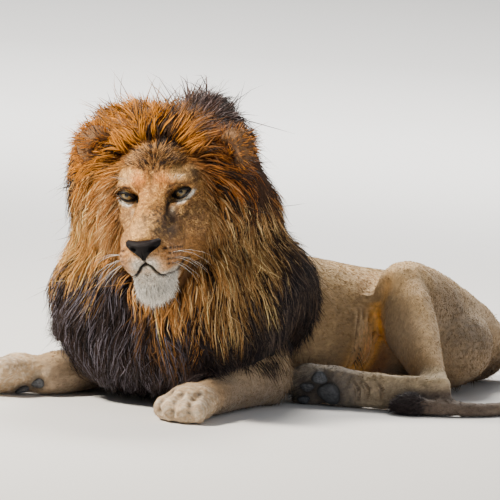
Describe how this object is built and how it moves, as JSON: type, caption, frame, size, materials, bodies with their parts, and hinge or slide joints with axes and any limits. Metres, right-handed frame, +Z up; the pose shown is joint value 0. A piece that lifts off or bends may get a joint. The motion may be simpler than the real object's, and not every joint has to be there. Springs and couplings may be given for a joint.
{
  "type": "resting lion figure",
  "caption": "Life-size male lion lying at rest, head turned to its left, forelegs forward, hind foot drawn up beside the belly; a still display figure with a full mane.",
  "frame": {"origin": "on the floor under the middle of the trunk, on the flat of the belly", "axes": "+Y from head to rump along the trunk, +X to the lion's left, +Z up from the floor"},
  "size_m": [0.9601, 1.6209, 0.7152],
  "materials": {
    "ear_left": "shaggy ear fur",
    "ear_right": "shaggy ear fur",
    "eye_left": "glossy glass eye",
    "eye_right": "glossy glass eye",
    "forearm_left": "short sandy fur",
    "forearm_right": "short sandy fur",
    "forepaw_left": "short sandy fur",
    "forepaw_right": "short sandy fur",
    "head": "very short golden tan fur",
    "hindfoot_left": "short sandy fur",
    "hindfoot_right": "short sandy fur",
    "jaw": "white chin fur",
    "mane_chest": "long loose black hair",
    "mane_crown": "long loose orange and dark brown hair",
    "mane_left": "long loose orange hair streaked dark",
    "mane_right": "long loose orange hair",
    "neck": "short sandy fur",
    "nose": "matt black nose leather",
    "shank_left": "short sandy fur",
    "shank_right": "short sandy fur",
    "tail_base": "short sandy fur",
    "tail_middle": "short sandy fur",
    "tail_tuft": "long black hair",
    "thigh_left": "short sandy fur",
    "thigh_right": "short sandy fur",
    "trunk": "short sandy fur",
    "upper_arm_left": "short sandy fur",
    "upper_arm_right": "short sandy fur"
  },
  "bodies": {
    "root": {"ear_left": "ear_left", "ear_right": "ear_right", "eye_left": "eye_left", "eye_right": "eye_right", "forearm_left": "forearm_left", "forearm_right": "forearm_right", "forepaw_left": "forepaw_left", "forepaw_right": "forepaw_right", "head": "head", "hindfoot_left": "hindfoot_left", "hindfoot_right": "hindfoot_right", "jaw": "jaw", "mane_chest": "mane_chest", "mane_crown": "mane_crown", "mane_left": "mane_left", "mane_right": "mane_right", "neck": "neck", "nose": "nose", "shank_left": "shank_left", "shank_right": "shank_right", "tail_base": "tail_base", "tail_middle": "tail_middle", "tail_tuft": "tail_tuft", "thigh_left": "thigh_left", "thigh_right": "thigh_right", "trunk": "trunk", "upper_arm_left": "upper_arm_left", "upper_arm_right": "upper_arm_right"}
  },
  "joints": []
}
